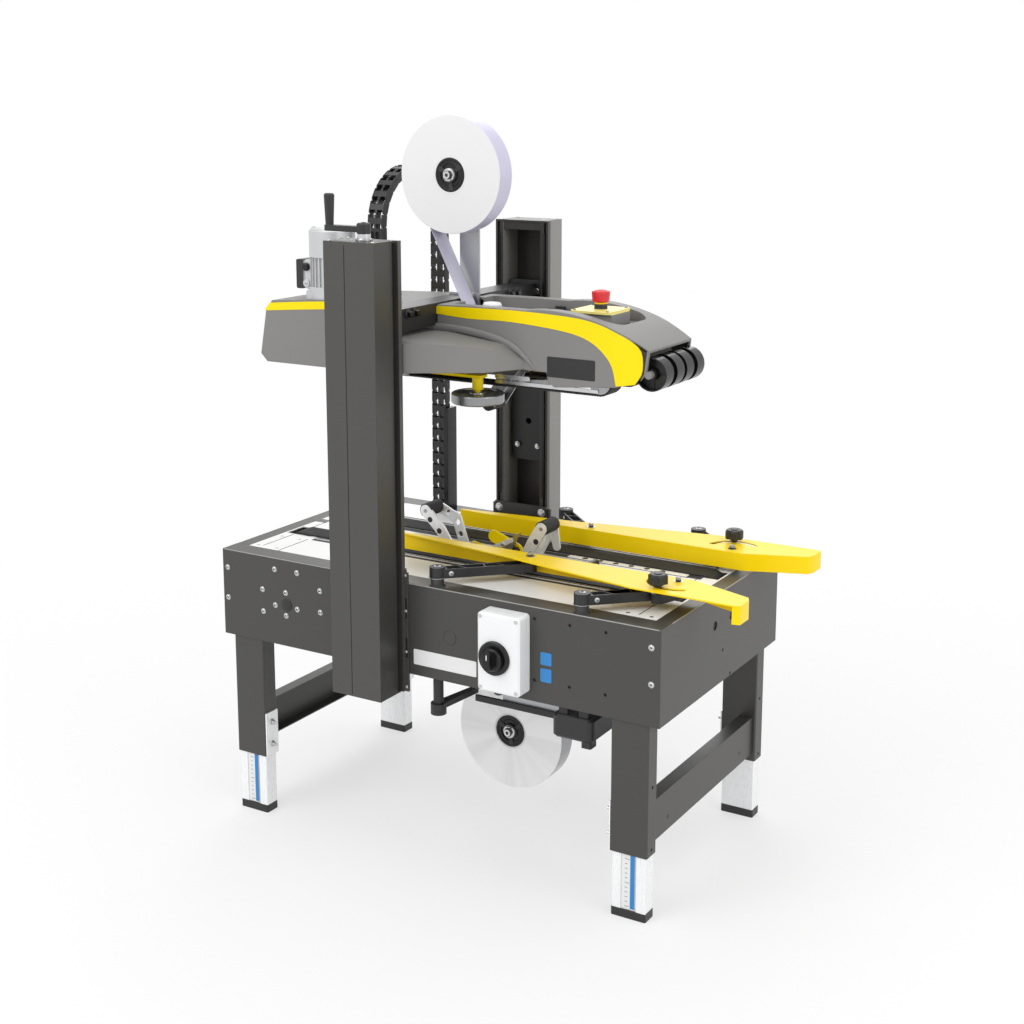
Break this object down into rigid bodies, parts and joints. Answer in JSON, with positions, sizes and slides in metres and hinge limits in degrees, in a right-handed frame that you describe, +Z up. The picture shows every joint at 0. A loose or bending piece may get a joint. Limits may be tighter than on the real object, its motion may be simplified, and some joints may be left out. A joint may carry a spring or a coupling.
{
  "type": "carton sealer",
  "caption": "Carton sealing machine with a low belt bed, linked yellow side guides, two columns and a height-adjustable top head carrying tape reels above and below the carton path.",
  "frame": {"origin": "floor level, centre of the whole machine's bounding box with the guides and head as set in the picture", "axes": "+X towards the carton infeed along the belts, +Y across the bed away from the switch box, +Z up"},
  "size_m": [1.258, 0.764, 1.587],
  "materials": {
    "panel_paint": "matt dark grey powder coat",
    "column_paint": "satin dark grey anodised and painted profile",
    "deck_steel": "smooth pale grey plate",
    "belt_rubber": "ribbed black belt",
    "bare_steel": "bright zinc",
    "aluminium": "plain extruded",
    "cover_plastic": "grained grey moulding",
    "black_plastic": "matt black moulding",
    "white_plastic": "white enclosure",
    "yellow_paint": "glossy yellow powder coat",
    "red_plastic": "red button",
    "tape_film": "white wound film"
  },
  "bodies": {
    "frame": {"bed_side_near": "panel_paint", "bed_side_far": "panel_paint", "bed_end_left": "panel_paint", "bed_end_right": "panel_paint", "deck_plate": "deck_steel", "belt_lower_near": "belt_rubber", "belt_lower_far": "belt_rubber", "leg_frame_left": "panel_paint", "leg_frame_right": "panel_paint", "leg_near_left": "aluminium", "leg_far_left": "aluminium", "leg_near_right": "aluminium", "leg_far_right": "aluminium", "column_near": "column_paint", "column_far": "column_paint", "switch_box": "white_plastic", "tool_tray": "black_plastic", "tape_head_lower": "bare_steel", "chain_loop": "black_plastic"},
    "head": {"head_cover": "cover_plastic", "head_beam": "panel_paint", "belt_upper_near": "belt_rubber", "belt_upper_far": "belt_rubber", "tape_head_upper": "bare_steel", "squeeze_arm_near": "yellow_paint", "squeeze_arm_far": "yellow_paint", "gear_motor": "aluminium", "stop_base": "yellow_paint", "tape_web": "tape_film", "chain_run": "black_plastic"},
    "switch_knob": {"switch_knob": "black_plastic"},
    "guide_arm_near_left": {"guide_arm_near_left": "black_plastic"},
    "guide_arm_near_right": {"guide_arm_near_right": "black_plastic"},
    "guide_arm_far_left": {"guide_arm_far_left": "black_plastic"},
    "guide_arm_far_right": {"guide_arm_far_right": "black_plastic"},
    "guide_near": {"guide_near": "yellow_paint"},
    "guide_far": {"guide_far": "yellow_paint"},
    "roller_arm_left": {"roller_arm_left": "bare_steel"},
    "roller_arm_right": {"roller_arm_right": "bare_steel"},
    "roller_arm_upper": {"roller_arm_upper": "bare_steel"},
    "reel_lower": {"reel_lower": "tape_film"},
    "reel_upper": {"reel_upper": "tape_film"},
    "squeeze_roller_near": {"squeeze_roller_near": "bare_steel"},
    "squeeze_roller_far": {"squeeze_roller_far": "bare_steel"},
    "nose_wheels": {"nose_wheels": "black_plastic"},
    "stop_button": {"stop_button": "red_plastic"},
    "crank": {"crank": "black_plastic"}
  },
  "joints": [
    {"name": "head_height", "type": "slide", "parent": "frame", "child": "head", "axis": [0, 0, 1], "range_m": [-0.26, 0.085], "deforming": ["chain_run"]},
    {"name": "crank_turn", "type": "hinge", "parent": "frame", "child": "crank", "pos_m": [-0.158, -0.34, 1.35], "axis": [0, 0, 1], "continuous": true},
    {"name": "near_left_arm_swing", "type": "hinge", "parent": "frame", "child": "guide_arm_near_left", "pos_m": [-0.029, -0.277, 0.637], "axis": [0, 0, 1], "range_deg": [-38, 32]},
    {"name": "near_right_arm_swing", "type": "hinge", "parent": "frame", "child": "guide_arm_near_right", "pos_m": [0.316, -0.277, 0.637], "axis": [0, 0, 1], "range_deg": [-38, 32]},
    {"name": "near_guide_turn", "type": "hinge", "parent": "guide_arm_near_left", "child": "guide_near", "pos_m": [0.114, -0.136, 0.65], "axis": [0, 0, 1], "range_deg": [-32, 38]},
    {"name": "far_left_arm_swing", "type": "hinge", "parent": "frame", "child": "guide_arm_far_left", "pos_m": [-0.029, 0.277, 0.637], "axis": [0, 0, 1], "range_deg": [-32, 38]},
    {"name": "far_right_arm_swing", "type": "hinge", "parent": "frame", "child": "guide_arm_far_right", "pos_m": [0.316, 0.277, 0.637], "axis": [0, 0, 1], "range_deg": [-32, 38]},
    {"name": "far_guide_turn", "type": "hinge", "parent": "guide_arm_far_left", "child": "guide_far", "pos_m": [0.114, 0.136, 0.65], "axis": [0, 0, 1], "range_deg": [-38, 32]},
    {"name": "reel_upper_spin", "type": "hinge", "parent": "head", "child": "reel_upper", "pos_m": [-0.156, 0, 1.459], "axis": [0, 1, 0], "continuous": true},
    {"name": "reel_lower_spin", "type": "hinge", "parent": "frame", "child": "reel_lower", "pos_m": [-0.003, 0, 0.21], "axis": [0, 1, 0], "continuous": true},
    {"name": "nose_wheels_spin", "type": "hinge", "parent": "head", "child": "nose_wheels", "pos_m": [0.369, 0, 1.075], "axis": [0, 1, 0], "continuous": true},
    {"name": "squeeze_roller_near_spin", "type": "hinge", "parent": "head", "child": "squeeze_roller_near", "pos_m": [-0.02, -0.13, 0.992], "axis": [0, 0, 1], "continuous": true},
    {"name": "squeeze_roller_far_spin", "type": "hinge", "parent": "head", "child": "squeeze_roller_far", "pos_m": [-0.02, 0.13, 0.992], "axis": [0, 0, 1], "continuous": true},
    {"name": "roller_arm_left_swing", "type": "hinge", "parent": "frame", "child": "roller_arm_left", "pos_m": [-0.149, 0, 0.6], "axis": [0, 1, 0], "range_deg": [-50, 0], "stiffness_Nm_per_rad": 3, "springref_deg": 20.05},
    {"name": "roller_arm_right_swing", "type": "hinge", "parent": "frame", "child": "roller_arm_right", "pos_m": [0.026, 0, 0.6], "axis": [0, 1, 0], "range_deg": [0, 50]},
    {"name": "roller_arm_upper_swing", "type": "hinge", "parent": "head", "child": "roller_arm_upper", "pos_m": [0.011, 0, 1.06], "axis": [0, 1, 0], "range_deg": [0, 55], "stiffness_Nm_per_rad": 3, "springref_deg": -17.19},
    {"name": "stop_button_press", "type": "slide", "parent": "head", "child": "stop_button", "axis": [0, 0, 1], "range_m": [-0.006, 0], "stiffness_N_per_m": 800, "springref_m": 0.004},
    {"name": "switch_knob_turn", "type": "hinge", "parent": "frame", "child": "switch_knob", "pos_m": [0.151, -0.35, 0.512], "axis": [0, 1, 0], "range_deg": [0, 90]}
  ],
  "couplings": [
    {"joint": "near_right_arm_swing", "follows": "near_left_arm_swing", "ratio": 1},
    {"joint": "near_guide_turn", "follows": "near_left_arm_swing", "ratio": -1},
    {"joint": "far_left_arm_swing", "follows": "near_left_arm_swing", "ratio": -1},
    {"joint": "far_right_arm_swing", "follows": "near_left_arm_swing", "ratio": -1},
    {"joint": "far_guide_turn", "follows": "near_left_arm_swing", "ratio": 1},
    {"joint": "roller_arm_right_swing", "follows": "roller_arm_left_swing", "ratio": -1}
  ]
}
